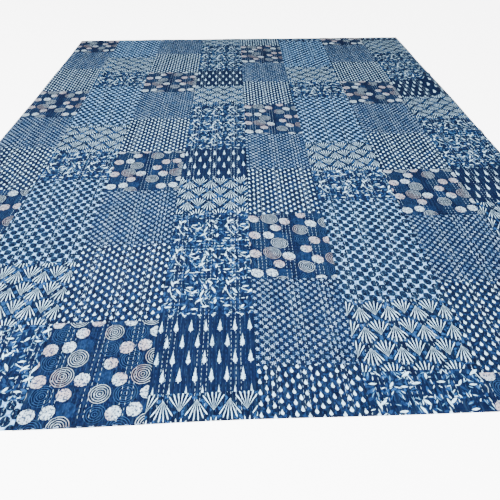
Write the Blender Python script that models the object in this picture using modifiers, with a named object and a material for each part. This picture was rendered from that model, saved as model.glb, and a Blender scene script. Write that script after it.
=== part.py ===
"""Kantha quilt: one sheet of hand-quilted cotton, laid out flat.

The sheet lies on a flat surface at z = 0 with its columns of patchwork along Y.
Most of it touches the surface. A few soft ridges stand up where the cloth has
more length than the stitching lets it use: along some of the seams, and along
the right-hand hem, where the edge rolls down from a low crest. The hem wanders
a few millimetres in and out, as a hand-sewn edge does.
Sizes are in metres, the origin is the middle of the footprint, +Z is up.
"""

import math
from collections import namedtuple

import bmesh
import bpy

QUILT_WIDTH = 2.286           # across the eight columns, 90 inches
QUILT_LENGTH = 2.650          # along the columns
CLOTH_THICKNESS = 0.003       # patchwork top, ground cloth and running stitch together
HEM_WANDER = 0.008            # most that a hem falls inside the full width or length
HEM_WAVE = 1.90               # length of one slow wander of a hem
HEM_START = {"left": -0.9, "right": 3.9, "near": 1.1, "far": 5.3}   # its phase, in radians

CELL_WIDE = 0.070             # size of a facet across the quilt where it lies flat
CELL_LONG = 0.070             # size of a facet along the quilt where it lies flat
CELL_FINE = 0.014             # size of a facet across a ridge

INDIGO = (0.055, 0.13, 0.27, 1.0)

# One row for each soft ridge. x and y are the middle of its crest line, run is
# the axis that the crest follows, length is from end to end, width is from foot
# to foot and height is at the middle of the crest.
Ridge = namedtuple("Ridge", "name x y run length width height")
RIDGES = (
    Ridge("rolled hem, right", 1.092, 0.480, "Y", 0.40, 0.100, 0.020),
    Ridge("pleat above the rolled hem", 1.062, 0.652, "X", 0.20, 0.060, 0.011),
    Ridge("ripple in the right hem", 1.062, -0.029, "X", 0.20, 0.080, 0.009),
    Ridge("seam of columns 4 and 5", -0.012, -0.400, "Y", 0.62, 0.080, 0.006),
    Ridge("slack in column 7", 0.628, 0.030, "Y", 0.60, 0.110, 0.007),
    Ridge("seam of columns 1 and 2", -0.862, 0.800, "Y", 0.55, 0.090, 0.006),
    Ridge("slack in column 3", -0.450, 0.330, "Y", 0.50, 0.100, 0.005),
    Ridge("near end, column 6", 0.420, -0.980, "Y", 0.44, 0.100, 0.006),
    Ridge("left hem, near half", -1.085, -0.250, "Y", 0.70, 0.090, 0.006),
)


def remove_everything():
    """Start from an empty file."""
    for thing in list(bpy.data.objects):
        bpy.data.objects.remove(thing, do_unlink=True)


def bell(offset, full_width):
    """A smooth hump: 1 in the middle, exactly 0 from half the width outwards."""
    reach = abs(offset) / (full_width / 2)
    if reach >= 1:
        return 0.0
    return 0.5 + 0.5 * math.cos(math.pi * reach)


def plateau(offset, full_length):
    """1 along the middle half of a run, easing to exactly 0 at its ends."""
    reach = abs(offset) / (full_length / 2)
    if reach <= 0.5:
        return 1.0
    return bell(reach - 0.5, 1.0)


def lift(x, y):
    """Height of the underside above the surface that the quilt lies on."""
    height = 0.0
    for ridge in RIDGES:
        along, across = (x - ridge.x, y - ridge.y)
        if ridge.run == "Y":
            along, across = (across, along)
        rise = ridge.height * bell(across, ridge.width) * plateau(along, ridge.length)
        height = max(height, rise)
    return height


def hem_inset(hem, distance):
    """How far a hem falls inside its straight line, at a distance along it."""
    start = HEM_START[hem]
    slow = math.sin(math.tau * distance / HEM_WAVE + start)
    quick = math.sin(math.tau * distance / (0.37 * HEM_WAVE) + 2 * start)
    return HEM_WANDER * (0.5 + 0.35 * slow + 0.15 * quick)


def graded_lines(full, coarse, spots):
    """Places of the facet lines across a full size: closer over the given spots.

    spots is a list of (low, high) stretches that take CELL_FINE.
    """
    lines = [-full / 2]
    while lines[-1] < full / 2 - CELL_FINE / 2:
        here = lines[-1]
        step = coarse
        for low, high in spots:
            if low <= here < high:
                step = CELL_FINE
            elif here < low < here + step:
                step = max(low - here, CELL_FINE / 2)
        lines.append(min(here + step, full / 2))
    lines[-1] = full / 2
    return lines


def ridge_spots(run):
    """The stretches that ridges with this run cover, measured across them."""
    spots = []
    for ridge in RIDGES:
        if ridge.run == run:
            middle = ridge.x if run == "Y" else ridge.y
            spots.append((middle - ridge.width / 2, middle + ridge.width / 2))
    return sorted(spots)


def quilt_underside(columns, rows):
    """The underside as a grid whose lines stand at the given places."""
    grid = bmesh.new()
    bmesh.ops.create_grid(grid, x_segments=len(columns) - 1, y_segments=len(rows) - 1, size=1.0)
    for vertex in grid.verts:
        column = round((vertex.co.x + 1) / 2 * (len(columns) - 1))
        row = round((vertex.co.y + 1) / 2 * (len(rows) - 1))
        x = columns[column]
        y = rows[row]
        side = hem_inset("left" if x < 0 else "right", y)
        end = hem_inset("near" if y < 0 else "far", x)
        worn_x = x * (1 - 2 * side / QUILT_WIDTH)
        worn_y = y * (1 - 2 * end / QUILT_LENGTH)
        vertex.co = (worn_x, worn_y, lift(worn_x, worn_y))
    mesh = bpy.data.meshes.new("quilt")
    grid.to_mesh(mesh)
    grid.free()
    return mesh


def centre_footprint(mesh):
    """Move the mesh so that the middle of its footprint is the origin."""
    for axis in (0, 1):
        places = [vertex.co[axis] for vertex in mesh.vertices]
        middle = (min(places) + max(places)) / 2
        for vertex in mesh.vertices:
            vertex.co[axis] -= middle


def indigo_cotton():
    """Washed indigo-dyed cotton."""
    cloth = bpy.data.materials.new("indigo_cotton")
    cloth.use_nodes = True
    surface = cloth.node_tree.nodes["Principled BSDF"]
    surface.inputs["Base Color"].default_value = INDIGO
    surface.inputs["Roughness"].default_value = 0.9
    surface.inputs["Metallic"].default_value = 0.0
    return cloth


def make_quilt(collection):
    """The quilted sheet: its underside, thickened upwards."""
    columns = graded_lines(QUILT_WIDTH, CELL_WIDE, ridge_spots("Y"))
    rows = graded_lines(QUILT_LENGTH, CELL_LONG, ridge_spots("X"))
    mesh = quilt_underside(columns, rows)
    centre_footprint(mesh)
    mesh.materials.append(indigo_cotton())
    quilt = bpy.data.objects.new("quilt", mesh)
    collection.objects.link(quilt)
    thickness = quilt.modifiers.new("thickness", "SOLIDIFY")
    thickness.thickness = CLOTH_THICKNESS
    thickness.offset = 1.0
    thickness.use_even_offset = True
    return quilt


def main():
    remove_everything()
    collection = bpy.data.collections.new("kantha_quilt")
    bpy.context.scene.collection.children.link(collection)
    make_quilt(collection)


main()
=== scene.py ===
"""A kantha quilt laid out flat: eight columns of indigo block prints, sewn through in running stitch."""

import math
import random
from collections import namedtuple

import bpy
import numpy as np
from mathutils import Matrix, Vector, noise


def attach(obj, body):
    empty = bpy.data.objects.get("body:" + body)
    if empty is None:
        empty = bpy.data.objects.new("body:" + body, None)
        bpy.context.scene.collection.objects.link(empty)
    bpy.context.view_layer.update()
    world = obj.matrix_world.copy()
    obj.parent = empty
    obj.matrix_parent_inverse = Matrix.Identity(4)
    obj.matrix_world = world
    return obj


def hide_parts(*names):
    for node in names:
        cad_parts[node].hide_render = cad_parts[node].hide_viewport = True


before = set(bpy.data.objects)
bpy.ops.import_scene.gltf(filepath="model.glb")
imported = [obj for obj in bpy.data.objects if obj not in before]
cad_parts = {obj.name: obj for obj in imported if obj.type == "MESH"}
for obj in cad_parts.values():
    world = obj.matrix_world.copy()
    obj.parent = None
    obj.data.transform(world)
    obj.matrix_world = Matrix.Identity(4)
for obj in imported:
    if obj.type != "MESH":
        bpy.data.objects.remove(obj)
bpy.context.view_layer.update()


# ---------------------------------------------------------------- ground cloth
# The plain indigo cotton on which the quilt is built. It is the cloth that touches the
# surface, and every running stitch passes through it, so its underside shows the rows too.

WIDTH = 2.286
LENGTH = 2.650
HEM_WANDER = 0.008
HEM_WAVE = 1.90
HEM_RIPPLE = 0.37 * HEM_WAVE
HEM_START = {"left": -0.9, "right": 3.9, "near": 1.1, "far": 5.3}     # of its waves, in radians

# The folds that stand where the cloth lies slack: the middle of each, the axis that it
# runs along, its length and width at the foot, and its height.
Ridge = namedtuple("Ridge", "name x y run length width height")
RIDGES = (
    Ridge("rolled hem, right", 1.092, 0.480, "Y", 0.40, 0.100, 0.020),
    Ridge("pleat above the rolled hem", 1.062, 0.652, "X", 0.20, 0.060, 0.011),
    Ridge("ripple in the right hem", 1.062, -0.029, "X", 0.20, 0.080, 0.009),
    Ridge("seam of columns 4 and 5", -0.012, -0.400, "Y", 0.62, 0.080, 0.006),
    Ridge("slack in column 7", 0.628, 0.030, "Y", 0.60, 0.110, 0.007),
    Ridge("seam of columns 1 and 2", -0.862, 0.800, "Y", 0.55, 0.090, 0.006),
    Ridge("slack in column 3", -0.450, 0.330, "Y", 0.50, 0.100, 0.005),
    Ridge("near end, column 6", 0.420, -0.980, "Y", 0.44, 0.100, 0.006),
    Ridge("left hem, near half", -1.085, -0.250, "Y", 0.70, 0.090, 0.006),
)

# One row a column: its width, its three prints in turn from the near end, the length
# that each is cut to, where along the quilt one patch of the first of them begins, and
# how far its printed rows fall towards the near end for each metre to the right.
Column = namedtuple("Column", "width prints cuts begins slant")
COLUMNS = (
    Column(0.277, ("roundels", "drops", "sprigs"), (0.304, 0.316, 0.288), 0.186, 0.0),
    Column(0.296, ("leaves", "palmettes", "spots"), (0.213, 0.233, 0.452), -0.357, 0.0),
    Column(0.298, ("roundels", "drops", "sprigs"), (0.283, 0.303, 0.302), -0.435, 0.0),
    Column(0.272, ("cypresses", "leaves", "palmettes"), (0.229, 0.447, 0.215), -0.366, 0.0),
    Column(0.273, ("roundels", "drops", "sprigs"), (0.308, 0.289, 0.289), -0.016, 0.15),
    Column(0.301, ("leaves", "palmettes", "spots"), (0.203, 0.221, 0.469), -0.525, 0.0),
    Column(0.297, ("roundels", "drops", "sprigs"), (0.288, 0.300, 0.310), 0.280, 0.0),
    Column(0.272, ("cypresses", "leaves", "palmettes"), (0.229, 0.435, 0.242), -0.552, 0.0),
)
SEAM_WANDER = 0.003
ROW_SPACING = 0.0128          # between rows of running stitch
ROW_WANDER = 0.0016
LINES_PER_ROW = 4             # facet lines of the patchwork from one row to the next
LINE_LONG = 0.0120            # its facets along the columns
COARSE_LONG = 2               # facets of the patchwork to one of the ground cloth, along
GROUND_TOP = 0.0008           # the ground cloth's upper face, above its underside

ROW_MAP = "rows"              # counts rows across, and metres along
WHITE_EVERY = 7               # rows from one group of white rows to the next
WHITE_ROWS = 3                # rows in a group
STITCH_PITCH = 0.0130
STITCH_LENGTH = 0.0072
THREAD_WIDTH = 0.0011


def bell(offset, full_width):
    """A smooth hump: 1 in the middle, 0 from half the width outwards."""
    reach = np.minimum(np.abs(offset) / (full_width / 2), 1.0)
    return 0.5 + 0.5 * np.cos(math.pi * reach)


def plateau(offset, full_length):
    """1 along the middle half of a run, easing to 0 at its ends."""
    reach = np.abs(offset) / (full_length / 2)
    return np.where(reach <= 0.5, 1.0, bell(reach - 0.5, 1.0))


def lift(x, y):
    """Height of the quilt's underside above the surface that it lies on."""
    height = np.zeros_like(x)
    for ridge in RIDGES:
        along, across = (x - ridge.x, y - ridge.y)
        if ridge.run == "Y":
            along, across = (across, along)
        rise = ridge.height * bell(across, ridge.width) * plateau(along, ridge.length)
        height = np.maximum(height, rise)
    return height


def hem_inset(hem, distance):
    """How far a hem falls inside its straight line, at a distance along it."""
    start = HEM_START[hem]
    slow = np.sin(math.tau * distance / HEM_WAVE + start)
    quick = np.sin(math.tau * distance / HEM_RIPPLE + 2 * start)
    return HEM_WANDER * (0.5 + 0.35 * slow + 0.15 * quick)


def seam_x(number, y):
    """Where a seam, or one of the two side hems, runs at y. No two seams wander alike."""
    whole = sum(column.width for column in COLUMNS)
    x = (sum(column.width for column in COLUMNS[:number]) / whole - 0.5) * WIDTH
    if number == 0:
        return x + hem_inset("left", y)
    if number == len(COLUMNS):
        return x - hem_inset("right", y)
    wave = np.sin(y * 3.1 + number * 1.7) + 0.5 * np.sin(y * 9.7 + number * 2.9)
    return x + SEAM_WANDER * wave / 1.5


def row_count(column):
    """Spaces between the rows of running stitch across a column."""
    return round(column.width / ROW_SPACING)


def laid(number, share, y):
    """Where a place on the quilt lies: a share of the way across a column, at a distance along.

    The rows of stitching follow these places. They wander most in the middle of a column.
    """
    left = seam_x(number, y)
    right = seam_x(number + 1, y)
    wave = np.sin(y * 7.3 + number * 2.1 + share * 9) + np.sin(y * 17.0 + number + share * 23)
    x = left + share * (right - left) + ROW_WANDER / 2 * wave * np.sin(math.pi * share)
    inset = np.where(y < 0, hem_inset("near", x), hem_inset("far", x))
    return x, y * (1 - 2 * inset / LENGTH)


def sheet_faces(wide, long, first=0):
    """Quads over a grid of vertices that counts along its second side first."""
    corners = (0, long, long + 1, 1)
    starts = [first + i * long + j for i in range(wide - 1) for j in range(long - 1)]
    return [tuple(start + corner for corner in corners) for start in starts]


def closed_cloth(name, top, foot, shared_across, shared_along):
    """A closed cloth from two grids of points, whose underside may have fewer facets.

    The foot's lines lie under those lines of the top that shared_across and
    shared_along number. The top's faces come first.
    """
    wide, long = top.shape[:2]
    low_wide, low_long = foot.shape[:2]
    start = wide * long
    faces = sheet_faces(wide, long)
    faces += [face[::-1] for face in sheet_faces(low_wide, low_long, start)]
    for i, upper, turn in ((0, 0, 1), (low_wide - 1, wide - 1, -1)):
        for j in range(low_long - 1):
            above = [upper * long + k for k in range(shared_along[j], shared_along[j + 1] + 1)]
            below = [start + i * low_long + j + 1, start + i * low_long + j]
            faces.append(tuple((above + below)[::turn]))
    for j, upper, turn in ((0, 0, -1), (low_long - 1, long - 1, 1)):
        for i in range(low_wide - 1):
            above = [k * long + upper for k in range(shared_across[i], shared_across[i + 1] + 1)]
            below = [start + (i + 1) * low_long + j, start + i * low_long + j]
            faces.append(tuple((above + below)[::turn]))
    mesh = bpy.data.meshes.new(name)
    points = np.concatenate([top.reshape(-1, 3), foot.reshape(-1, 3)])
    mesh.from_pydata(points.tolist(), [], faces)
    mesh.shade_smooth()
    piece = bpy.data.objects.new(name, mesh)
    bpy.context.scene.collection.objects.link(piece)
    return piece


def add_map(piece, name, places):
    """Gives a piece a UV map from one (u, v) for each of its face corners."""
    layer = piece.data.uv_layers.new(name=name)
    layer.uv.foreach_set("vector", np.asarray(places, np.float32).ravel())


def corner_vertices(piece):
    """The vertex at each face corner of a piece."""
    found = np.empty(len(piece.data.loops), np.int32)
    piece.data.loops.foreach_get("vertex_index", found)
    return found


class Wire:
    """A socket in a material's tree. Sums on it add Math nodes to the tree."""

    def __init__(self, tree, socket):
        self.tree = tree
        self.socket = socket

    def node(self, kind, settings=None, feeds=None, out=0):
        """Adds a node: its settings first, then the values or wires of its sockets."""
        made = self.tree.nodes.new(kind)
        for name, value in (settings or {}).items():
            if name == "stops":
                set_stops(made.color_ramp, value)
            else:
                setattr(made, name, value)
        for key, value in (feeds or {}).items():
            if isinstance(value, Wire):
                self.tree.links.new(value.socket, made.inputs[key])
            else:
                made.inputs[key].default_value = value
        return Wire(self.tree, made.outputs[out])

    def beside(self, out):
        """Another output of the node that this wire comes from."""
        return Wire(self.tree, self.socket.node.outputs[out])

    def maths(self, operation, *values, clamp=False):
        """A Math node on this wire and the values or wires that follow."""
        feeds = dict(enumerate((self, *values)))
        return self.node("ShaderNodeMath", {"operation": operation, "use_clamp": clamp}, feeds)

    def vector(self, operation, *values, out=0):
        """A Vector Math node on this wire and the values or wires that follow."""
        feeds = dict(enumerate((self, *values)))
        return self.node("ShaderNodeVectorMath", {"operation": operation}, feeds, out)

    def __add__(self, other):
        return self.maths("ADD", other)

    __radd__ = __add__

    def __sub__(self, other):
        return self.maths("SUBTRACT", other)

    def __rsub__(self, other):
        return (self * -1).maths("ADD", other)

    def __mul__(self, other):
        return self.maths("MULTIPLY", other)

    __rmul__ = __mul__

    def __truediv__(self, other):
        return self.maths("DIVIDE", other)

    def __abs__(self):
        return self.maths("ABSOLUTE")

    def __pow__(self, other):
        return self.maths("POWER", other)

    def inside(self, softness):
        """1 where the wire is above zero and 0 where it is below, over a soft edge."""
        return (self / softness).maths("ADD", 0.5, clamp=True)

    def wrap(self, period):
        """The distance from the nearest multiple of a period, with its sign."""
        return self.maths("WRAP", period / 2, -period / 2)


def set_stops(ramp, stops):
    """Gives a colour ramp its stops: (place, grey) pairs."""
    while len(ramp.elements) > 1:
        ramp.elements.remove(ramp.elements[-1])
    for number, (place, grey) in enumerate(stops):
        stop = ramp.elements.new(place) if number else ramp.elements[0]
        stop.position = place
        stop.color = (grey, grey, grey, 1)


def blend(factor, low, high):
    """A mix of two colours, each a wire or (r, g, b)."""
    pair = [colour if isinstance(colour, Wire) else (*colour, 1) for colour in (low, high)]
    feeds = {0: factor, 6: pair[0], 7: pair[1]}
    return factor.node("ShaderNodeMix", {"data_type": "RGBA"}, feeds, out=2)


def tinted(colour, lightness):
    """A colour, a wire or (r, g, b), made lighter or darker by a wire."""
    return lightness.node("ShaderNodeVectorMath", {"operation": "SCALE"}, {0: colour, 3: lightness})


def axes(place):
    """The x and y of a vector."""
    x = place.node("ShaderNodeSeparateXYZ", None, {0: place})
    return x, x.beside(1)


def mottle(place, scale, detail=2.0):
    """Soft noise, mostly between 0.3 and 0.7. scale is a number of cells to the metre."""
    feeds = {"Vector": place, "Scale": scale, "Detail": detail}
    return place.node("ShaderNodeTexNoise", None, feeds)


def blots(place, scale, level, softness, detail=2.0):
    """Soft-edged patches: 1 where mottle() is above a level, and 0 where it is below."""
    return (mottle(place, scale, detail) - level).inside(softness)


def drawn_out(place, across, along):
    """Coordinates that make a pattern of this many cells to the metre each way."""
    return place.vector("MULTIPLY", (across, along, across))


SPECULAR = 0.06               # washed cotton hardly shines


def cotton(name, paint):
    """A cotton material. paint(at) gives its colour, its height in metres and its roughness."""
    material = bpy.data.materials.new(name)
    material.use_nodes = True
    tree = material.node_tree
    surface = tree.nodes["Principled BSDF"]
    surface.inputs["Specular IOR Level"].default_value = SPECULAR
    coordinates = tree.nodes.new("ShaderNodeTexCoord")
    at = Wire(tree, coordinates.outputs["Object"])
    colour, height, roughness = paint(at)
    tree.links.new(colour.socket, surface.inputs["Base Color"])
    tree.links.new(roughness.socket, surface.inputs["Roughness"])
    bump = at.node("ShaderNodeBump", None, {"Strength": 1.0, "Distance": 1.0, "Height": height})
    tree.links.new(bump.socket, surface.inputs["Normal"])
    return material


THREADS = 1300                # to the metre, both ways
THREAD_RELIEF = 0.00005
CREASES = (210, 22)           # to the metre, across the quilt and along it
CREASE_RELIEF = 0.00025


def creases(at):
    """Noise in the shape of the fine creases that run along the columns."""
    return mottle(drawn_out(at, *CREASES), 1.0, 3.0)


def weave(at):
    """Height of a plain weave with fine creases in it."""
    x, y = axes(at)
    warp = (x * (THREADS * math.pi)).maths("SINE")
    weft = (y * (THREADS * math.pi)).maths("SINE")
    return abs(warp * weft) * THREAD_RELIEF + creases(at) * CREASE_RELIEF


GROUND_BLUE = (0.0066, 0.0180, 0.0790)
THREAD_WHITE = (0.3300, 0.4800, 0.6400)
THREAD_BLUE = (0.0120, 0.0400, 0.1250)
THREAD_STANDS = 0.0005        # how far the thread stands out from the cloth
DASH_EDGE = 0.0006            # how soft a dash is at its ends, and along its sides
DASH_SIDE = 0.0004
ROW_SHIFT = 12.9898           # radians from row to row, so that no two rows of dashes start alike


def ground_paint(at):
    """Plain dyed cotton with the dashes of the running stitch on it."""
    across, along = axes(at.node("ShaderNodeUVMap", {"uv_map": ROW_MAP}))
    number = across.maths("ROUND")
    shift = (number * ROW_SHIFT).maths("SINE").maths("FRACT")
    off_row = abs(across.wrap(1.0)) * ROW_SPACING
    off_middle = abs((along + shift * STITCH_PITCH).wrap(STITCH_PITCH))
    dash = (STITCH_LENGTH / 2 - off_middle).inside(DASH_EDGE)
    stitch = dash * (THREAD_WIDTH / 2 - off_row).inside(DASH_SIDE)
    group = number.maths("FLOORED_MODULO", WHITE_EVERY)
    white = (WHITE_ROWS - 0.5 - group).inside(0.1)
    thread = blend(white, THREAD_BLUE, THREAD_WHITE)
    cloud = mottle(at, 9, 3.0) * 0.7 + mottle(drawn_out(at, 300, 40), 1.0) * 0.6 + 0.35
    height = weave(at) + stitch * THREAD_STANDS
    return blend(stitch, tinted(GROUND_BLUE, cloud), thread), height, 0.86 + cloud * 0.08


def share_lines(column, lines_per_row):
    """Shares of a column's width at which facet lines run from row to row."""
    count = row_count(column) * lines_per_row
    return [number / count for number in range(count + 1)]


def coarse_lines():
    """Distances along the quilt at which the ground cloth's facet lines lie."""
    return np.linspace(-LENGTH / 2, LENGTH / 2, round(LENGTH / (LINE_LONG * COARSE_LONG)) + 1)


GROUND_INSET = 0.0008         # the ground cloth stops just short of the turned hem


def make_ground_cloth():
    """The ground cloth, one grid across all the columns."""
    lines = []
    marks = []
    row = 0
    for number, column in enumerate(COLUMNS):
        shares = share_lines(column, 1)
        if number < len(COLUMNS) - 1:
            shares = shares[:-1]
        for place, share in enumerate(shares):
            y = coarse_lines()
            lines.append(np.stack(laid(number, share, y), axis=-1))
            marks.append(np.stack([np.full_like(y, row + place), y], axis=-1))
        row += row_count(column)
    flat = np.array(lines)
    x, y = flat[..., 0], flat[..., 1]
    x = x * (1 - 2 * GROUND_INSET / WIDTH)
    y = y * (1 - 2 * GROUND_INSET / LENGTH)
    under = lift(x, y)
    top = np.stack([x, y, under + GROUND_TOP], axis=-1)
    foot = np.stack([x, y, under], axis=-1)
    cloth = closed_cloth("ground_cloth", top, foot, range(len(x)), range(len(y[0])))
    marks = np.tile(np.array(marks).reshape(-1, 2), (2, 1))
    add_map(cloth, ROW_MAP, marks[corner_vertices(cloth)])
    cloth.data.materials.append(cotton("ground_cotton", ground_paint))
    return cloth


ground_cloth = make_ground_cloth()
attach(ground_cloth, "root")
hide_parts("quilt")


# ---------------------------------------------------------------- the seven block prints
# Cottons printed by hand with carved blocks, in resist and indigo. No two strikes of a
# block are alike, so edges stray a little, and the dye takes unevenly and fades with washing.

INK = (0.0016, 0.0042, 0.0190)        # indigo at its deepest
DEEP = (0.0032, 0.0090, 0.0370)
MIDDLE = (0.0072, 0.0260, 0.0860)
BRIGHT = (0.0150, 0.0590, 0.1700)
PALE = (0.0920, 0.2550, 0.4500)
RESIST = (0.5200, 0.7900, 1.0000)     # undyed ground, tinted by washing

PRINT_MAP = "print"                   # the cloth's own coordinates, in metres
WOBBLES = 95                          # to the metre, in the edges of a print
STRAY = 0.0006                        # how far a printed edge strays
EDGE = 0.0006                         # how soft a printed edge is
OUTLINE = 0.0016                      # the dark line that a block prints round its motifs


def printed(at):
    """The cloth's own coordinates, moved a little by the wobble of a hand-held block."""
    cloth = at.node("ShaderNodeUVMap", {"uv_map": PRINT_MAP})
    wobble = mottle(cloth, WOBBLES, 1.0).beside(1)
    stray = wobble.vector("SUBTRACT", (0.5, 0.5, 0.5)).vector("MULTIPLY", (3 * STRAY, 3 * STRAY, 0))
    return cloth.vector("ADD", stray)


def hypot(a, b):
    """The length of a line that goes a across and b along."""
    return (a * a + b * b) ** 0.5


def staggered(u, v, column, repeat):
    """Coordinates from the middle of each motif, in columns that drop by half a repeat in turn.

    The third result is a random number for each motif.
    """
    number = (u / column).maths("FLOOR")
    dropped = v + number * (repeat / 2)
    cell = (dropped / repeat + 0.5).maths("FLOOR")
    key = u.node("ShaderNodeCombineXYZ", None, {0: number, 1: cell})
    chance = u.node("ShaderNodeTexWhiteNoise", {"noise_dimensions": "2D"}, {"Vector": key})
    return u - (number + 0.5) * column, dropped.wrap(repeat), chance


def joined(depths):
    """How far inside the nearest of several shapes, from how far inside each."""
    deepest, *others = depths
    for depth in others:
        deepest = deepest.maths("MAXIMUM", depth)
    return deepest


def outline(share, stops):
    """Half width of a motif at a share of its height, as a ramp through its stops."""
    return share.node("ShaderNodeValToRGB", {"stops": stops}, {0: share})


def dyed(at, colour):
    """A print's colour with uneven dye, and the tops of the fine creases made paler: partly worn indigo,
    partly a painted highlight on the ridges.
    """
    cloud = mottle(at, 10, 3.0) * 0.5
    blotch = mottle(at, 120, 1.0) * 1.1
    grain = mottle(drawn_out(at, 420, 45), 1.0) * 0.9
    lightness = cloud + blotch + grain - 0.25       # 1 on the whole
    # Painted highlight, partly wear: where the crease bump stands highest, the colour is mixed a little
    # towards pale indigo.
    tone_shift = (creases(at) - 0.58).inside(0.16) * 0.05
    return blend(tone_shift, tinted(colour, lightness), PALE)


def print_paint(draw):
    """A paint for cotton(): the print that draw() gives, on washed and crumpled cloth."""
    def paint(at):
        colour = draw(at, printed(at))
        return dyed(at, colour), weave(at), mottle(at, 140, 1.0) * 0.12 + 0.84
    return paint


DROP_ACROSS = 0.01675         # from one column of drops to the next
DROP_ALONG = 0.0275
DROP_HIGH = 0.0155
DROP_HALF = 0.0047            # half a drop's width, and how much wider some are
DROP_UNEVEN = 0.0010
DROP_SHAPE = ((0.0, 0.0), (0.06, 0.55), (0.22, 0.96), (0.36, 1.0), (0.66, 0.42), (1.0, 0.0))


def drops(at, place):
    """Rows of small white drops, points upwards."""
    u, v = axes(place)
    x, y, chance = staggered(u, v, DROP_ACROSS, DROP_ALONG)
    half = outline(y / DROP_HIGH + 0.5, DROP_SHAPE)
    depth = half * (chance * DROP_UNEVEN + DROP_HALF) - abs(x) - EDGE
    ground = blend(blots(at, 130, 0.58, 0.14), INK, MIDDLE)
    return blend(depth.inside(EDGE), ground, RESIST)


SPOT_ACROSS = 0.0363
SPOT_ALONG = 0.0374
SPOT_SLANT = 0.106            # the printed rows run a little off the cloth's weft
SPOT_RADIUS = 0.0116
SPOT_UNEVEN = 0.0026
WEB_LOW = (0.0750, 0.2250, 0.5300)    # the ground between the spots, tinted and nearly clean
WEB_HIGH = (0.3000, 0.5800, 0.9500)


def spots(at, place):
    """Dark spots set close on a pale ground."""
    u, v = axes(place)
    slanted = v + u * SPOT_SLANT
    even = hypot(u.wrap(SPOT_ACROSS), slanted.wrap(SPOT_ALONG))
    odd = hypot((u + SPOT_ACROSS / 2).wrap(SPOT_ACROSS), (slanted + SPOT_ALONG / 2).wrap(SPOT_ALONG))
    depth = mottle(place, 45, 0.0) * SPOT_UNEVEN + SPOT_RADIUS - even.maths("MINIMUM", odd)
    speck = blots(at, 260, 0.62, 0.06, 1.0)
    ground = blend(blots(at, 150, 0.46, 0.16), WEB_LOW, WEB_HIGH)
    return blend(depth.inside(EDGE), ground, blend(speck * 0.2, INK, PALE))


SPRIG_ACROSS = 0.0133
SPRIG_ALONG = 0.0240
SPRIG_PETALS = 5
SPRIG_RADIUS = 0.0041
SPRIG_LOBE = 0.0020           # how far its petals stand out from that, and the gaps fall in
SPRIG_EYE = 0.0012
SPRIG_LOW = (0.1200, 0.2700, 0.5200)
SPRIG_HIGH = (0.3900, 0.5900, 0.8400)


def sprigs(at, place):
    """Tiny five-petalled sprigs, close together."""
    u, v = axes(place)
    x, y, chance = staggered(u, v, SPRIG_ACROSS, SPRIG_ALONG)
    reach = hypot(x, y)
    petals = (y.maths("ARCTAN2", x) * SPRIG_PETALS + chance * 6).maths("COSINE")
    depth = petals * SPRIG_LOBE + SPRIG_RADIUS - reach
    eye = (SPRIG_EYE - reach).inside(EDGE)
    marks = blots(at, 330, 0.58, 0.06, 1.0)
    tint = blend(chance, SPRIG_LOW, SPRIG_HIGH)
    leafage = blots(at, 210, 0.60, 0.08, 1.0)
    ground = blend((depth + OUTLINE).inside(EDGE), blend(leafage, INK, MIDDLE), INK)
    return blend(depth.inside(EDGE), ground, blend(eye.maths("MAXIMUM", marks * 0.7), tint, DEEP))


TREE_ACROSS = 0.02075
TREE_ALONG = 0.0970
TREE_HIGH = 0.046
TREE_HALF = 0.0018            # half the width of its body where the print is thinnest
TREE_UNEVEN = 0.0090
TREE_SHAPE = (
    (0.0, 0.0), (0.02, 0.25), (0.10, 0.25), (0.13, 0.90),
    (0.24, 1.0), (0.48, 0.62), (0.75, 0.25), (1.0, 0.0),
)


def cypresses(at, place):
    """Slender white trees in staggered rows, on the darkest indigo."""
    u, v = axes(place)
    x, y, chance = staggered(u, v, TREE_ACROSS, TREE_ALONG)
    half = outline(y / TREE_HIGH + 0.5, TREE_SHAPE)
    ragged = mottle(at, 420, 1.0) * TREE_UNEVEN + TREE_HALF
    tree = (half * ragged - abs(x) - EDGE).inside(EDGE)
    scuff = blots(at, 170, 0.60, 0.08)
    ground = blend(mottle(drawn_out(at, 420, 30), 1.0), INK, DEEP)
    return blend(tree * (chance * 0.2 + 0.8), ground, blend(scuff * 0.5, RESIST, PALE))


FAN_WIDE = 0.0820
FAN_HIGH = 0.0660
FAN_REACH = 0.0500
FAN_OVERLAP = 0.002
PETAL_FALL = 0.0025           # how much shorter each petal is than the one inside it
PETAL_TURN = math.radians(14.5)
OUTER_PETAL = 2.5             # turns from the middle of a fan to the middle of its last petal
PETAL_HALF = 0.0015
PETAL_SHAPE = ((0.0, 0.08), (0.30, 0.18), (0.80, 1.0), (0.93, 0.85), (1.0, 0.0))


def fan(x, y):
    """A palmette of six narrow petals that opens upwards from its foot at (0, 0)."""
    reach = hypot(x, y)
    angle = x.maths("ARCTAN2", y)
    number = (angle / PETAL_TURN).maths("FLOOR") + 0.5
    number = number.maths("MINIMUM", OUTER_PETAL).maths("MAXIMUM", -OUTER_PETAL)
    off = abs(angle - number * PETAL_TURN) * reach
    share = reach / (FAN_REACH + PETAL_FALL - abs(number) * PETAL_FALL)
    beyond = share.maths("GREATER_THAN", 1.0) * 0.01
    return outline(share, PETAL_SHAPE) * PETAL_HALF - off - beyond


def palmettes(at, place):
    """Fans of petals in rows, opening up and down by turns, with dark zigzags between."""
    u, v = axes(place)
    up = fan(u.wrap(FAN_WIDE), (v + FAN_OVERLAP).wrap(FAN_HIGH) + FAN_REACH / 2)
    down = fan((u + FAN_WIDE / 2).wrap(FAN_WIDE), FAN_REACH / 2 - (v + FAN_REACH / 2).wrap(FAN_HIGH))
    depth = joined([up, down])
    ground = blend(blots(at, 90, 0.56, 0.1), INK, BRIGHT)
    ground = blend((depth + 2 * OUTLINE).inside(EDGE), ground, INK)
    return blend(depth.inside(EDGE), ground, RESIST)


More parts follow.
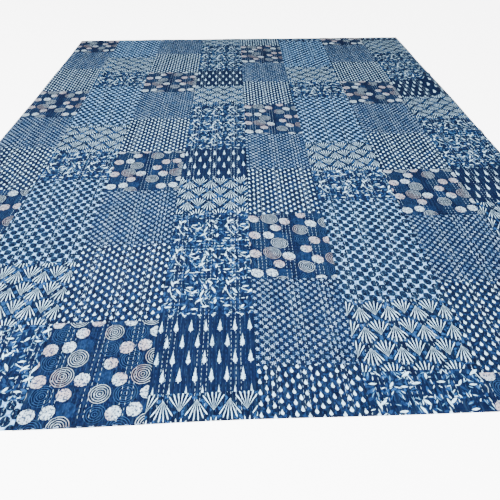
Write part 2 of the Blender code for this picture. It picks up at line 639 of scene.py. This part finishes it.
Roundel = namedtuple("Roundel", "kind x y radius")
ROUNDEL_REPEAT = (0.203, 0.172)
ROUNDELS = (
    Roundel("ringed white", 0.102, 0.000, 0.0280),
    Roundel("ringed white", 0.075, 0.122, 0.0305),
    Roundel("ringed white", 0.180, 0.075, 0.0275),
    Roundel("white", 0.018, 0.111, 0.0215),
    Roundel("white", 0.128, 0.113, 0.0215),
    Roundel("white", 0.190, 0.155, 0.0205),
    Roundel("white", 0.094, 0.075, 0.0200),
    Roundel("white", 0.020, 0.027, 0.0215),
    Roundel("white", 0.068, 0.034, 0.0205),
    Roundel("ringed blue", 0.037, 0.165, 0.0310),
    Roundel("ringed blue", 0.040, 0.074, 0.0310),
    Roundel("ringed blue", 0.180, 0.026, 0.0260),
    Roundel("blue", 0.180, 0.119, 0.0230),
    Roundel("blue", 0.111, 0.037, 0.0220),
)
ROUNDEL_SQUAT = 1.12          # a roundel is this much wider than it is long
ROUNDEL_SHRUNK = 0.0045       # how far a white one's ragged edge falls inside its radius
ROUNDEL_RAGGED = 0.005
RING_PITCH = 0.0060
RING_START = 0.3              # the first line's place from the edge, and half its width, in pitches
RING_HALF = 0.12
RING_BLUE = (0.0140, 0.0480, 0.1300)
WASHED = (0.4300, 0.5600, 0.6600)     # undyed ground that has turned cold, or kept a warm cast
BLUSH = (0.3700, 0.3350, 0.3600)


def from_motif(place, x, y, repeat):
    """Coordinates from the nearest copy of a motif that stands at (x, y) in each repeat."""
    wide, high = repeat
    off = place.vector("SUBTRACT", (x, y, 0))
    return off.vector("WRAP", (wide / 2, high / 2, 1), (-wide / 2, -high / 2, -1))


def in_roundels(place, kind):
    """How far inside the nearest roundel of a kind, negative outside it."""
    depths = []
    for roundel in ROUNDELS:
        if roundel.kind == kind:
            off = from_motif(place, roundel.x, roundel.y, ROUNDEL_REPEAT)
            reach = off.vector("MULTIPLY", (1, ROUNDEL_SQUAT, 1)).vector("LENGTH", out=1)
            depths.append(roundel.radius - reach)
    return joined(depths)


def ringed(place, depth, line, ground):
    """Concentric lines of one colour on another, by how deep inside the roundel."""
    rings = (RING_HALF - abs((depth / RING_PITCH - RING_START).wrap(1.0))).inside(RING_HALF)
    worn = blots(place, 80, 0.46, 0.2, 1.0) * 0.5 + 0.5
    return blend(rings * worn, ground, line)


def roundels(at, place):
    """Ringed and plain roundels that overlap, some kept white and some dyed."""
    colour = blend(blots(at, 150, 0.50, 0.14), INK, DEEP)
    plain = in_roundels(place, "blue")
    colour = blend(plain.inside(EDGE), colour, blend(mottle(at, 120), INK, MIDDLE))
    blue = in_roundels(place, "ringed blue")
    colour = blend(blue.inside(EDGE), colour, ringed(place, blue, RING_BLUE, INK))
    undyed = blend(blots(place, 9, 0.50, 0.12, 0.0), WASHED, BLUSH)
    open_rings = in_roundels(place, "ringed white")
    colour = blend(open_rings.inside(EDGE), colour, ringed(place, open_rings, undyed, INK))
    ragged = mottle(at, 210, 1.0) * ROUNDEL_RAGGED
    whole = in_roundels(place, "white") - ROUNDEL_SHRUNK + ragged
    scribble = blots(place, 180, 0.55, 0.05, 1.0)
    return blend(whole.inside(EDGE), colour, blend(scribble * 0.9, undyed, MIDDLE))


# The leaves of the block itself: where each stands in a repeat, how many degrees it is
# turned, and its length and width from its middle.
Leaf = namedtuple("Leaf", "x y turn length width")
LEAF_REPEAT = (0.174, 0.140)
LEAF_WORN = 0.72              # the share of its width that a leaf still prints
LEAVES = (
    Leaf(0.034, 0.122, 35, 0.012, 0.0046),
    Leaf(0.023, 0.117, 110, 0.012, 0.0044),
    Leaf(0.045, 0.085, -55, 0.013, 0.0048),
    Leaf(0.016, 0.092, 90, 0.007, 0.0062),
    Leaf(0.078, 0.100, 5, 0.011, 0.0040),
    Leaf(0.092, 0.082, 40, 0.013, 0.0048),
    Leaf(0.118, 0.078, 65, 0.014, 0.0046),
    Leaf(0.128, 0.102, -60, 0.012, 0.0042),
    Leaf(0.112, 0.052, 30, 0.014, 0.0050),
    Leaf(0.142, 0.120, -40, 0.011, 0.0048),
    Leaf(0.154, 0.090, -60, 0.013, 0.0050),
    Leaf(0.130, 0.028, 5, 0.012, 0.0040),
    Leaf(0.098, 0.020, 0, 0.010, 0.0038),
    Leaf(0.066, 0.026, 50, 0.009, 0.0044),
    Leaf(0.020, 0.030, 0, 0.011, 0.0038),
    Leaf(0.160, 0.046, 80, 0.009, 0.0054),
)
# Its stems are arcs round (x, y), of some degrees each way from where they are turned to.
Stem = namedtuple("Stem", "x y radius turn sweep")
STEMS = (
    Stem(0.093, 0.107, 0.075, 205, 24),
    Stem(0.183, 0.069, 0.070, 200, 18),
    Stem(0.102, 0.135, 0.055, 250, 22),
)
STEM_HALF = 0.0010

# The smaller leaves behind it, in layers: a colour, how many cells to the metre, a shift
# that sets the layer apart, a leaf's length and width, and the share of cells that hold one.
Layer = namedtuple("Layer", "colour cells shift length width share")
LAYERS = (
    Layer(MIDDLE, 62, 0.0, 0.0105, 0.0036, 0.5),
    Layer(BRIGHT, 54, 0.37, 0.0100, 0.0032, 0.38),
    Layer(INK, 58, 0.53, 0.0095, 0.0026, 0.4),
    Layer(PALE, 75, 0.19, 0.0080, 0.0011, 0.25),
    Layer(RESIST, 78, 0.71, 0.0065, 0.0012, 0.26),
)


def rotated(off, angle):
    """The x and y of a vector after a turn."""
    feeds = {"Vector": off, "Angle": angle}
    return axes(off.node("ShaderNodeVectorRotate", {"rotation_type": "Z_AXIS"}, feeds))


def turned_motif(place, motif, repeat):
    """The x and y of a motif that is turned by some degrees where it stands."""
    return rotated(from_motif(place, motif.x, motif.y, repeat), -math.radians(motif.turn))


def leaf_depth(along, across, length, width):
    """How far inside a pointed leaf, whose length and width are from its middle."""
    share = along / length
    return (1 - share * share) * width - abs(across)


def strewn_leaves(place, layer):
    """Leaves strewn at every angle, one to a cell in some share of the cells."""
    moved = place.vector("ADD", (layer.shift, 2 * layer.shift, 0))
    feeds = {"Vector": moved, "Scale": layer.cells, "Randomness": 0.8}
    cell = place.node("ShaderNodeTexVoronoi", {"voronoi_dimensions": "2D"}, feeds, out=1)
    angle, lot = axes(cell)
    along, across = rotated(moved.vector("SUBTRACT", cell.beside(2)), angle * math.tau)
    depth = leaf_depth(along, across, layer.length, layer.width)
    return depth.inside(EDGE) * lot.maths("LESS_THAN", layer.share)


def leaves(at, place):
    """A thicket of white, pale and blue leaves on curling stems."""
    colour = blend(mottle(at, 60), INK, DEEP)
    for layer in LAYERS:
        colour = blend(strewn_leaves(place, layer), colour, layer.colour)
    depths = []
    for stem in STEMS:
        x, y = turned_motif(place, stem, LEAF_REPEAT)
        bow = STEM_HALF - abs(hypot(x, y) - stem.radius)
        within = x - math.cos(math.radians(stem.sweep)) * stem.radius
        depths.append(bow.maths("MINIMUM", within))
    for leaf in LEAVES:
        along, across = turned_motif(place, leaf, LEAF_REPEAT)
        depths.append(leaf_depth(along, across, leaf.length, leaf.width * LEAF_WORN))
    white = joined(depths)
    colour = blend((white + OUTLINE).inside(EDGE), colour, INK)
    return blend(white.inside(EDGE), colour, RESIST)


PRINTS = {
    "roundels": cotton("roundel_print", print_paint(roundels)),
    "drops": cotton("drop_print", print_paint(drops)),
    "sprigs": cotton("sprig_print", print_paint(sprigs)),
    "leaves": cotton("leaf_print", print_paint(leaves)),
    "palmettes": cotton("palmette_print", print_paint(palmettes)),
    "spots": cotton("spot_print", print_paint(spots)),
    "cypresses": cotton("cypress_print", print_paint(cypresses)),
}


# ---------------------------------------------------------------- columns of patchwork
# Eight long strips, each pieced from three prints in turn and then sewn to the next with
# the seam pressed flat. Their outer edges are turned in over the ground cloth as the hem.

PATCH_TOP = 0.0021            # the patchwork's face at the rows of stitching
PATCH_FOOT = 0.0010
EDGE_RADIUS = 0.0014
EDGE_LINES = (0.0, 0.0004, 0.0012)    # facet lines of a turned edge, by distance from it
EDGE_GAP = 0.00015            # half the gap between two columns
SEAM_HALF = 0.003             # a seam's groove, half its width
SEAM_DEPTH = 0.0009
BAKE_MAP = "OFBake"
BAKE_FOLDS = 3                # a column lies folded on its bake map, side by side
BAKE_SPAN = 1.02              # metres that the bake map is wide and high
BAKE_MARGIN = 0.010
BAKE_UNDER = 0.22             # scale of the underside there

# Noise in the cloth's height: how high it stands, and its size across and along the quilt.
Swell = namedtuple("Swell", "height wide long seed")
PUFF = Swell(0.0012, 0.022, 0.045, 1.5)     # the cloth that stands up between two rows
PUFF_POWER = 0.8                            # less than 1 makes a puff blunt
SLACK = (Swell(0.0014, 0.045, 0.14, 5.5), Swell(0.0018, 0.15, 0.33, 9.5))

Patch = namedtuple("Patch", "print low high")


def patches(column):
    """The patches of a column from the near end, each from a low to a high y."""
    turn = 0
    y = column.begins
    while y > -LENGTH / 2:
        turn -= 1
        y -= column.cuts[turn % len(column.cuts)]
    found = []
    while y < LENGTH / 2:
        high = y + column.cuts[turn % len(column.cuts)]
        found.append(Patch(column.prints[turn % len(column.cuts)], y, high))
        y = high
        turn += 1
    return found


def seams_across(column):
    """Where along a column one patch is sewn to the next."""
    return [patch.low for patch in patches(column)[1:]]


def facet_lines(column):
    """The patchwork's facet lines across and along a column, and which the underside shares."""
    rim = [distance / column.width for distance in EDGE_LINES]
    inner = share_lines(column, LINES_PER_ROW)[1:-1]
    across = rim + inner + [1 - share for share in reversed(rim)]
    first_row = len(rim) + LINES_PER_ROW - 1
    rows = range(first_row, len(across) - len(rim), LINES_PER_ROW)
    shared_across = [0, *rows, len(across) - 1]
    kept = list(coarse_lines())
    along = set(kept)
    along.update((low + high) / 2 for low, high in zip(kept[:-1], kept[1:]))
    for seam in seams_across(column):
        along.update((seam - SEAM_HALF, seam, seam + SEAM_HALF))
    for distance in EDGE_LINES[1:]:
        along.update((distance - LENGTH / 2, LENGTH / 2 - distance))
    along = sorted(along)
    return across, along, shared_across, [along.index(line) for line in kept]


def swelling(x, y, swell):
    """Smooth noise from 0 to 1 over the quilt, at a swell's width and length."""
    spots = zip((x / swell.wide).ravel().tolist(), (y / swell.long).ravel().tolist())
    found = [noise.noise(Vector((across, along, swell.seed))) for across, along in spots]
    return np.clip(np.array(found).reshape(x.shape) + 0.5, 0, 1)


def turned_edge(distance):
    """How far a cloth falls where its edge is turned in, at a distance in from the edge."""
    share = np.clip(1 - distance / EDGE_RADIUS, 0, 1)
    return EDGE_RADIUS * (1 - np.sqrt(1 - share * share))


def face_height(x, y, share, column, along):
    """Height of the patchwork's upper face."""
    between = np.abs(np.sin(math.pi * share * row_count(column)))
    height = PATCH_TOP + PUFF.height * between ** PUFF_POWER * (0.5 + swelling(x, y, PUFF))
    for swell in SLACK:
        height += swell.height * swelling(x, y, swell)
    for seam in seams_across(column):
        height -= SEAM_DEPTH * np.clip(1 - np.abs(along - seam) / SEAM_HALF, 0, 1)
    edge = np.minimum(share, 1 - share) * column.width
    end = LENGTH / 2 - np.abs(along)
    return lift(x, y) + height - turned_edge(edge) - turned_edge(end)


def bake_places(piece, column, flat, top_faces):
    """Where each face corner lies on the bake map: the face in folds, the rest beside it."""
    fold_wide, fold_high = (column.width + BAKE_MARGIN, LENGTH / BAKE_FOLDS)
    places = flat + (0, LENGTH / 2)
    for polygon in piece.data.polygons:
        loops = slice(polygon.loop_start, polygon.loop_start + polygon.loop_total)
        if polygon.index < top_faces:
            fold = min(int(places[loops, 1].mean() / fold_high), BAKE_FOLDS - 1)
            places[loops] += (fold * fold_wide, -fold * fold_high)
        else:
            places[loops] = places[loops] * BAKE_UNDER + (BAKE_FOLDS * fold_wide, 0)
    return (places + BAKE_MARGIN) / BAKE_SPAN


def make_column(number, column):
    """One column of patchwork, with its print map and one material a print.

    Also gives how far along the flat cloth each point of its face is, and that face.
    """
    across, along, shared_across, shared_along = facet_lines(column)
    share, straight_y = np.meshgrid(across, along, indexing="ij")
    x, y = laid(number, share, straight_y)
    x = x + EDGE_GAP * ((share == 0).astype(float) - (share == 1))
    z = face_height(x, y, share, column, straight_y)
    top = np.stack([x, y, z], axis=-1)
    foot = top[np.ix_(shared_across, shared_along)]
    foot[..., 2] = lift(foot[..., 0], foot[..., 1]) + PATCH_FOOT
    piece = closed_cloth(f"column_{number + 1}", top, foot, shared_across, shared_along)
    mesh = piece.data

    names = list(dict.fromkeys(column.prints))
    for name in names:
        mesh.materials.append(PRINTS[name])
    flat = np.stack([share * column.width, straight_y], axis=-1)
    flat_foot = flat[np.ix_(shared_across, shared_along)]
    flat = np.concatenate([flat.reshape(-1, 2), flat_foot.reshape(-1, 2)])
    corners = flat[corner_vertices(piece)]
    sewn_patches = patches(column)
    for polygon in mesh.polygons:
        loops = slice(polygon.loop_start, polygon.loop_start + polygon.loop_total)
        middle = (corners[loops, 1].min() + corners[loops, 1].max()) / 2
        patch = next(patch for patch in sewn_patches if middle < patch.high)
        polygon.material_index = names.index(patch.print)
        corners[loops, 1] += column.slant * corners[loops, 0] - patch.low
    add_map(piece, PRINT_MAP, corners)
    top_faces = (len(across) - 1) * (len(along) - 1)
    add_map(piece, BAKE_MAP, bake_places(piece, column, flat[corner_vertices(piece)], top_faces))
    return piece, straight_y, top


faces_to_sew = []
for number, column in enumerate(COLUMNS):
    piece, straight_y, face = make_column(number, column)
    faces_to_sew.append((column, straight_y, face))
    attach(piece, "root")
    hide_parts("quilt")


# ---------------------------------------------------------------- running stitch
# Rows of hand-sewn running stitch along the whole quilt, in white cotton for a few rows
# and then in blue. Each stitch is a short bar of thread that dips into the cloth at both ends.


def row_lines(name, wanted):
    """An object that holds one polyline for each row of stitching in a list."""
    points = []
    edges = []
    for line in wanted:
        start = len(points)
        points.extend(line)
        edges.extend((start + k, start + k + 1) for k in range(len(line) - 1))
    mesh = bpy.data.meshes.new(name)
    mesh.from_pydata(points, edges, [])
    thing = bpy.data.objects.new(name, mesh)
    bpy.context.scene.collection.objects.link(thing)
    return thing


ROW_MARGIN = 0.009            # a row begins at least this far inside a hem
BAR_WIDTH = 0.58              # a bar's half width, as a share of the thread's width
BAR_LENGTH = 0.55             # its half length, as a share of the stitch's
STITCH_STRAY = ((-0.0004, -0.0012, 0.0), (0.0004, 0.0012, 0.0002))     # the most, either way
ROW_SEED = 11

STITCH_INPUTS = (
    ("Pitch", "NodeSocketFloat", STITCH_PITCH),
    ("Length", "NodeSocketFloat", STITCH_LENGTH),
    ("Thread", "NodeSocketFloat", THREAD_WIDTH),
    ("Unevenness", "NodeSocketFloat", 0.25),
    ("Seed", "NodeSocketInt", 3),
    ("Material", "NodeSocketMaterial", None),
)


def stitch_tree():
    """Geometry nodes that sew a bar of thread at every step along a row."""
    tree = bpy.data.node_groups.new("running_stitch", "GeometryNodeTree")
    tree.interface.new_socket("Rows", in_out="INPUT", socket_type="NodeSocketGeometry")
    for name, kind, value in STITCH_INPUTS:
        socket = tree.interface.new_socket(name, in_out="INPUT", socket_type=kind)
        if value is not None:
            socket.default_value = value
    tree.interface.new_socket("Stitches", in_out="OUTPUT", socket_type="NodeSocketGeometry")

    def add(kind, settings=None, **feeds):
        """Adds a node. A feed goes to the socket of that name, or of that number as _0."""
        made = tree.nodes.new(kind)
        for name, value in (settings or {}).items():
            setattr(made, name, value)
        for key, value in feeds.items():
            socket = made.inputs[int(key[1:])] if key[0] == "_" else made.inputs[key.replace("_", " ")]
            if isinstance(value, bpy.types.NodeSocket):
                tree.links.new(value, socket)
            else:
                socket.default_value = value
        return made

    def maths(operation, first, second):
        """The result of a Math node."""
        return add("ShaderNodeMath", {"operation": operation}, _0=first, _1=second).outputs[0]

    given = tree.nodes.new("NodeGroupInput").outputs
    curve = add("GeometryNodeMeshToCurve", Mesh=given["Rows"]).outputs[0]
    points = add("GeometryNodeCurveToPoints", {"mode": "LENGTH"}, Curve=curve, Length=given["Pitch"])
    least = maths("SUBTRACT", 1.0, given["Unevenness"])
    most = maths("ADD", 1.0, given["Unevenness"])
    uneven = add("FunctionNodeRandomValue", _2=least, _3=most, Seed=given["Seed"])
    low, high = STITCH_STRAY
    vector = {"data_type": "FLOAT_VECTOR"}
    stray = add("FunctionNodeRandomValue", vector, _0=low, _1=high, Seed=given["Seed"])
    moved = add("GeometryNodeSetPosition", Geometry=points.outputs["Points"], Offset=stray.outputs[0])
    turn = add("FunctionNodeAlignRotationToVector", {"axis": "Y"}, Vector=points.outputs["Tangent"])
    half_width = maths("MULTIPLY", given["Thread"], BAR_WIDTH)
    half_length = maths("MULTIPLY", given["Length"], BAR_LENGTH)
    half_length = maths("MULTIPLY", half_length, uneven.outputs[1])
    size = add("ShaderNodeCombineXYZ", _0=half_width, _1=half_length, _2=half_width)
    bar = add("GeometryNodeMeshUVSphere", Segments=3, Rings=3, Radius=1.0)
    along = add("GeometryNodeTransform", Geometry=bar.outputs[0], Rotation=(math.pi / 2, math.pi / 2, 0))
    bars = add(
        "GeometryNodeInstanceOnPoints",
        Points=moved.outputs[0],
        Instance=along.outputs[0],
        Rotation=turn.outputs[0],
        Scale=size.outputs[0],
    )
    real = add("GeometryNodeRealizeInstances", Geometry=bars.outputs[0])
    dressed = add("GeometryNodeSetMaterial", Geometry=real.outputs[0], Material=given["Material"])
    result = tree.nodes.new("NodeGroupOutput")
    tree.links.new(dressed.outputs[0], result.inputs[0])
    return tree


def sewn(rows, tree, material):
    """Runs the stitch tree on the rows, and gives the stitches as one plain mesh."""
    sewing = rows.modifiers.new("sewing", "NODES")
    sewing.node_group = tree
    for socket in tree.interface.items_tree:
        if socket.in_out == "INPUT" and socket.name == "Material":
            sewing[socket.identifier] = material
    seen = rows.evaluated_get(bpy.context.evaluated_depsgraph_get())
    mesh = bpy.data.meshes.new_from_object(seen)
    rows.modifiers.remove(sewing)
    piece = bpy.data.objects.new(rows.name.replace("rows", "stitches"), mesh)
    bpy.context.scene.collection.objects.link(piece)
    bpy.data.objects.remove(rows)
    return piece


TWIST = 5200                  # radians to the metre
TWIST_RELIEF = 0.00008


def thread_paint(colour):
    """Twisted cotton thread of a colour, a little soiled and worn."""
    def paint(at):
        _, along = axes(at)
        twist = (along * TWIST).maths("SINE")
        tone_shift = mottle(at, 500) * 0.5 + mottle(at, 8) * 0.4 + 0.55
        return tinted(colour, tone_shift), twist * TWIST_RELIEF, 0.7 + tone_shift * 0.1
    return paint


THREADS_USED = {
    "white": cotton("white_thread", thread_paint(THREAD_WHITE)),
    "blue": cotton("blue_thread", thread_paint(THREAD_BLUE)),
}
sewing_tree = stitch_tree()
chance = random.Random(ROW_SEED)
rows_by_piece = {}
row = 0
for number, (column, straight_y, face) in enumerate(faces_to_sew):
    side = "left" if number < len(COLUMNS) // 2 else "right"
    for place in range(row_count(column)):
        if place:
            line = len(EDGE_LINES) - 1 + place * LINES_PER_ROW
            colour = "white" if row % WHITE_EVERY < WHITE_ROWS else "blue"
            begins = ROW_MARGIN + chance.random() * STITCH_PITCH
            kept = np.abs(straight_y[line]) < LENGTH / 2 - begins
            rows_by_piece.setdefault((colour, side), []).append(face[line][kept].tolist())
        row += 1

for (colour, side), wanted in rows_by_piece.items():
    rows = row_lines(f"{colour}_rows_{side}", wanted)
    piece = sewn(rows, sewing_tree, THREADS_USED[colour])
    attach(piece, "root")
    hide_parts("quilt")


# ---------------------------------------------------------------- floor, light and camera
# A plain pale studio floor, soft light with a key over the near end and a weaker lamp on the
# left, and a camera that stands over the near end of the quilt and looks down along it.

FLOOR_REACH = 40              # from the middle to each side
FLOOR_DROP = 0.0005           # how far it lies below the cloth
FLOOR_GREY = (0.9, 0.9, 0.9, 1)
WHITE = (1, 1, 1, 1)
FLOOR_GLOW = 6.0              # it gives light itself, so that it stays white beside the lamps
DAYLIGHT = 0.66

signs = ((-1, -1), (1, -1), (1, 1), (-1, 1))
floor_corners = [(x * FLOOR_REACH, y * FLOOR_REACH, 0) for x, y in signs]
floor_mesh = bpy.data.meshes.new("floor")
floor_mesh.from_pydata(floor_corners, [], [(0, 1, 2, 3)])
floor = bpy.data.objects.new("floor", floor_mesh)
bpy.context.scene.collection.objects.link(floor)
pale_floor = bpy.data.materials.new("pale_floor")
pale_floor.use_nodes = True
surface = pale_floor.node_tree.nodes["Principled BSDF"].inputs
surface["Base Color"].default_value = FLOOR_GREY
surface["Roughness"].default_value = 0.8
surface["Emission Color"].default_value = WHITE
surface["Emission Strength"].default_value = FLOOR_GLOW
floor_mesh.materials.append(pale_floor)
floor.location.z = -FLOOR_DROP

world = bpy.data.worlds.new("studio")
bpy.context.scene.world = world
world.use_nodes = True
background = world.node_tree.nodes["Background"].inputs
background["Color"].default_value = WHITE
background["Strength"].default_value = DAYLIGHT

Lamp = namedtuple("Lamp", "name place target size watts")
LAMPS = (
    Lamp("key", (-0.4, -1.8, 2.4), (0.1, -0.5, 0), 1.2, 270),
    Lamp("side", (-3.4, 0.9, 1.5), (0, 0.3, 0), 1.0, 62),
)
for lamp in LAMPS:
    panel = bpy.data.lights.new(lamp.name, "AREA")
    panel.size = lamp.size
    panel.energy = lamp.watts
    light = bpy.data.objects.new(lamp.name, panel)
    light.location = lamp.place
    aim = Vector(lamp.target) - Vector(lamp.place)
    light.rotation_euler = aim.to_track_quat("-Z", "Y").to_euler()
    bpy.context.scene.collection.objects.link(light)

EYE = (-0.0314, -1.671, 0.966)
EYE_TILT = math.radians(46.24)        # up from straight down
EYE_TURN = math.radians(-1.909)

lens = bpy.data.cameras.new("camera")
lens.lens = 28.08
lens.sensor_width = 36.0
lens.shift_y = -0.043
lens.clip_end = 200
camera = bpy.data.objects.new("camera", lens)
camera.location = EYE
camera.rotation_euler = (EYE_TILT, 0, EYE_TURN)
bpy.context.scene.collection.objects.link(camera)
bpy.context.scene.camera = camera
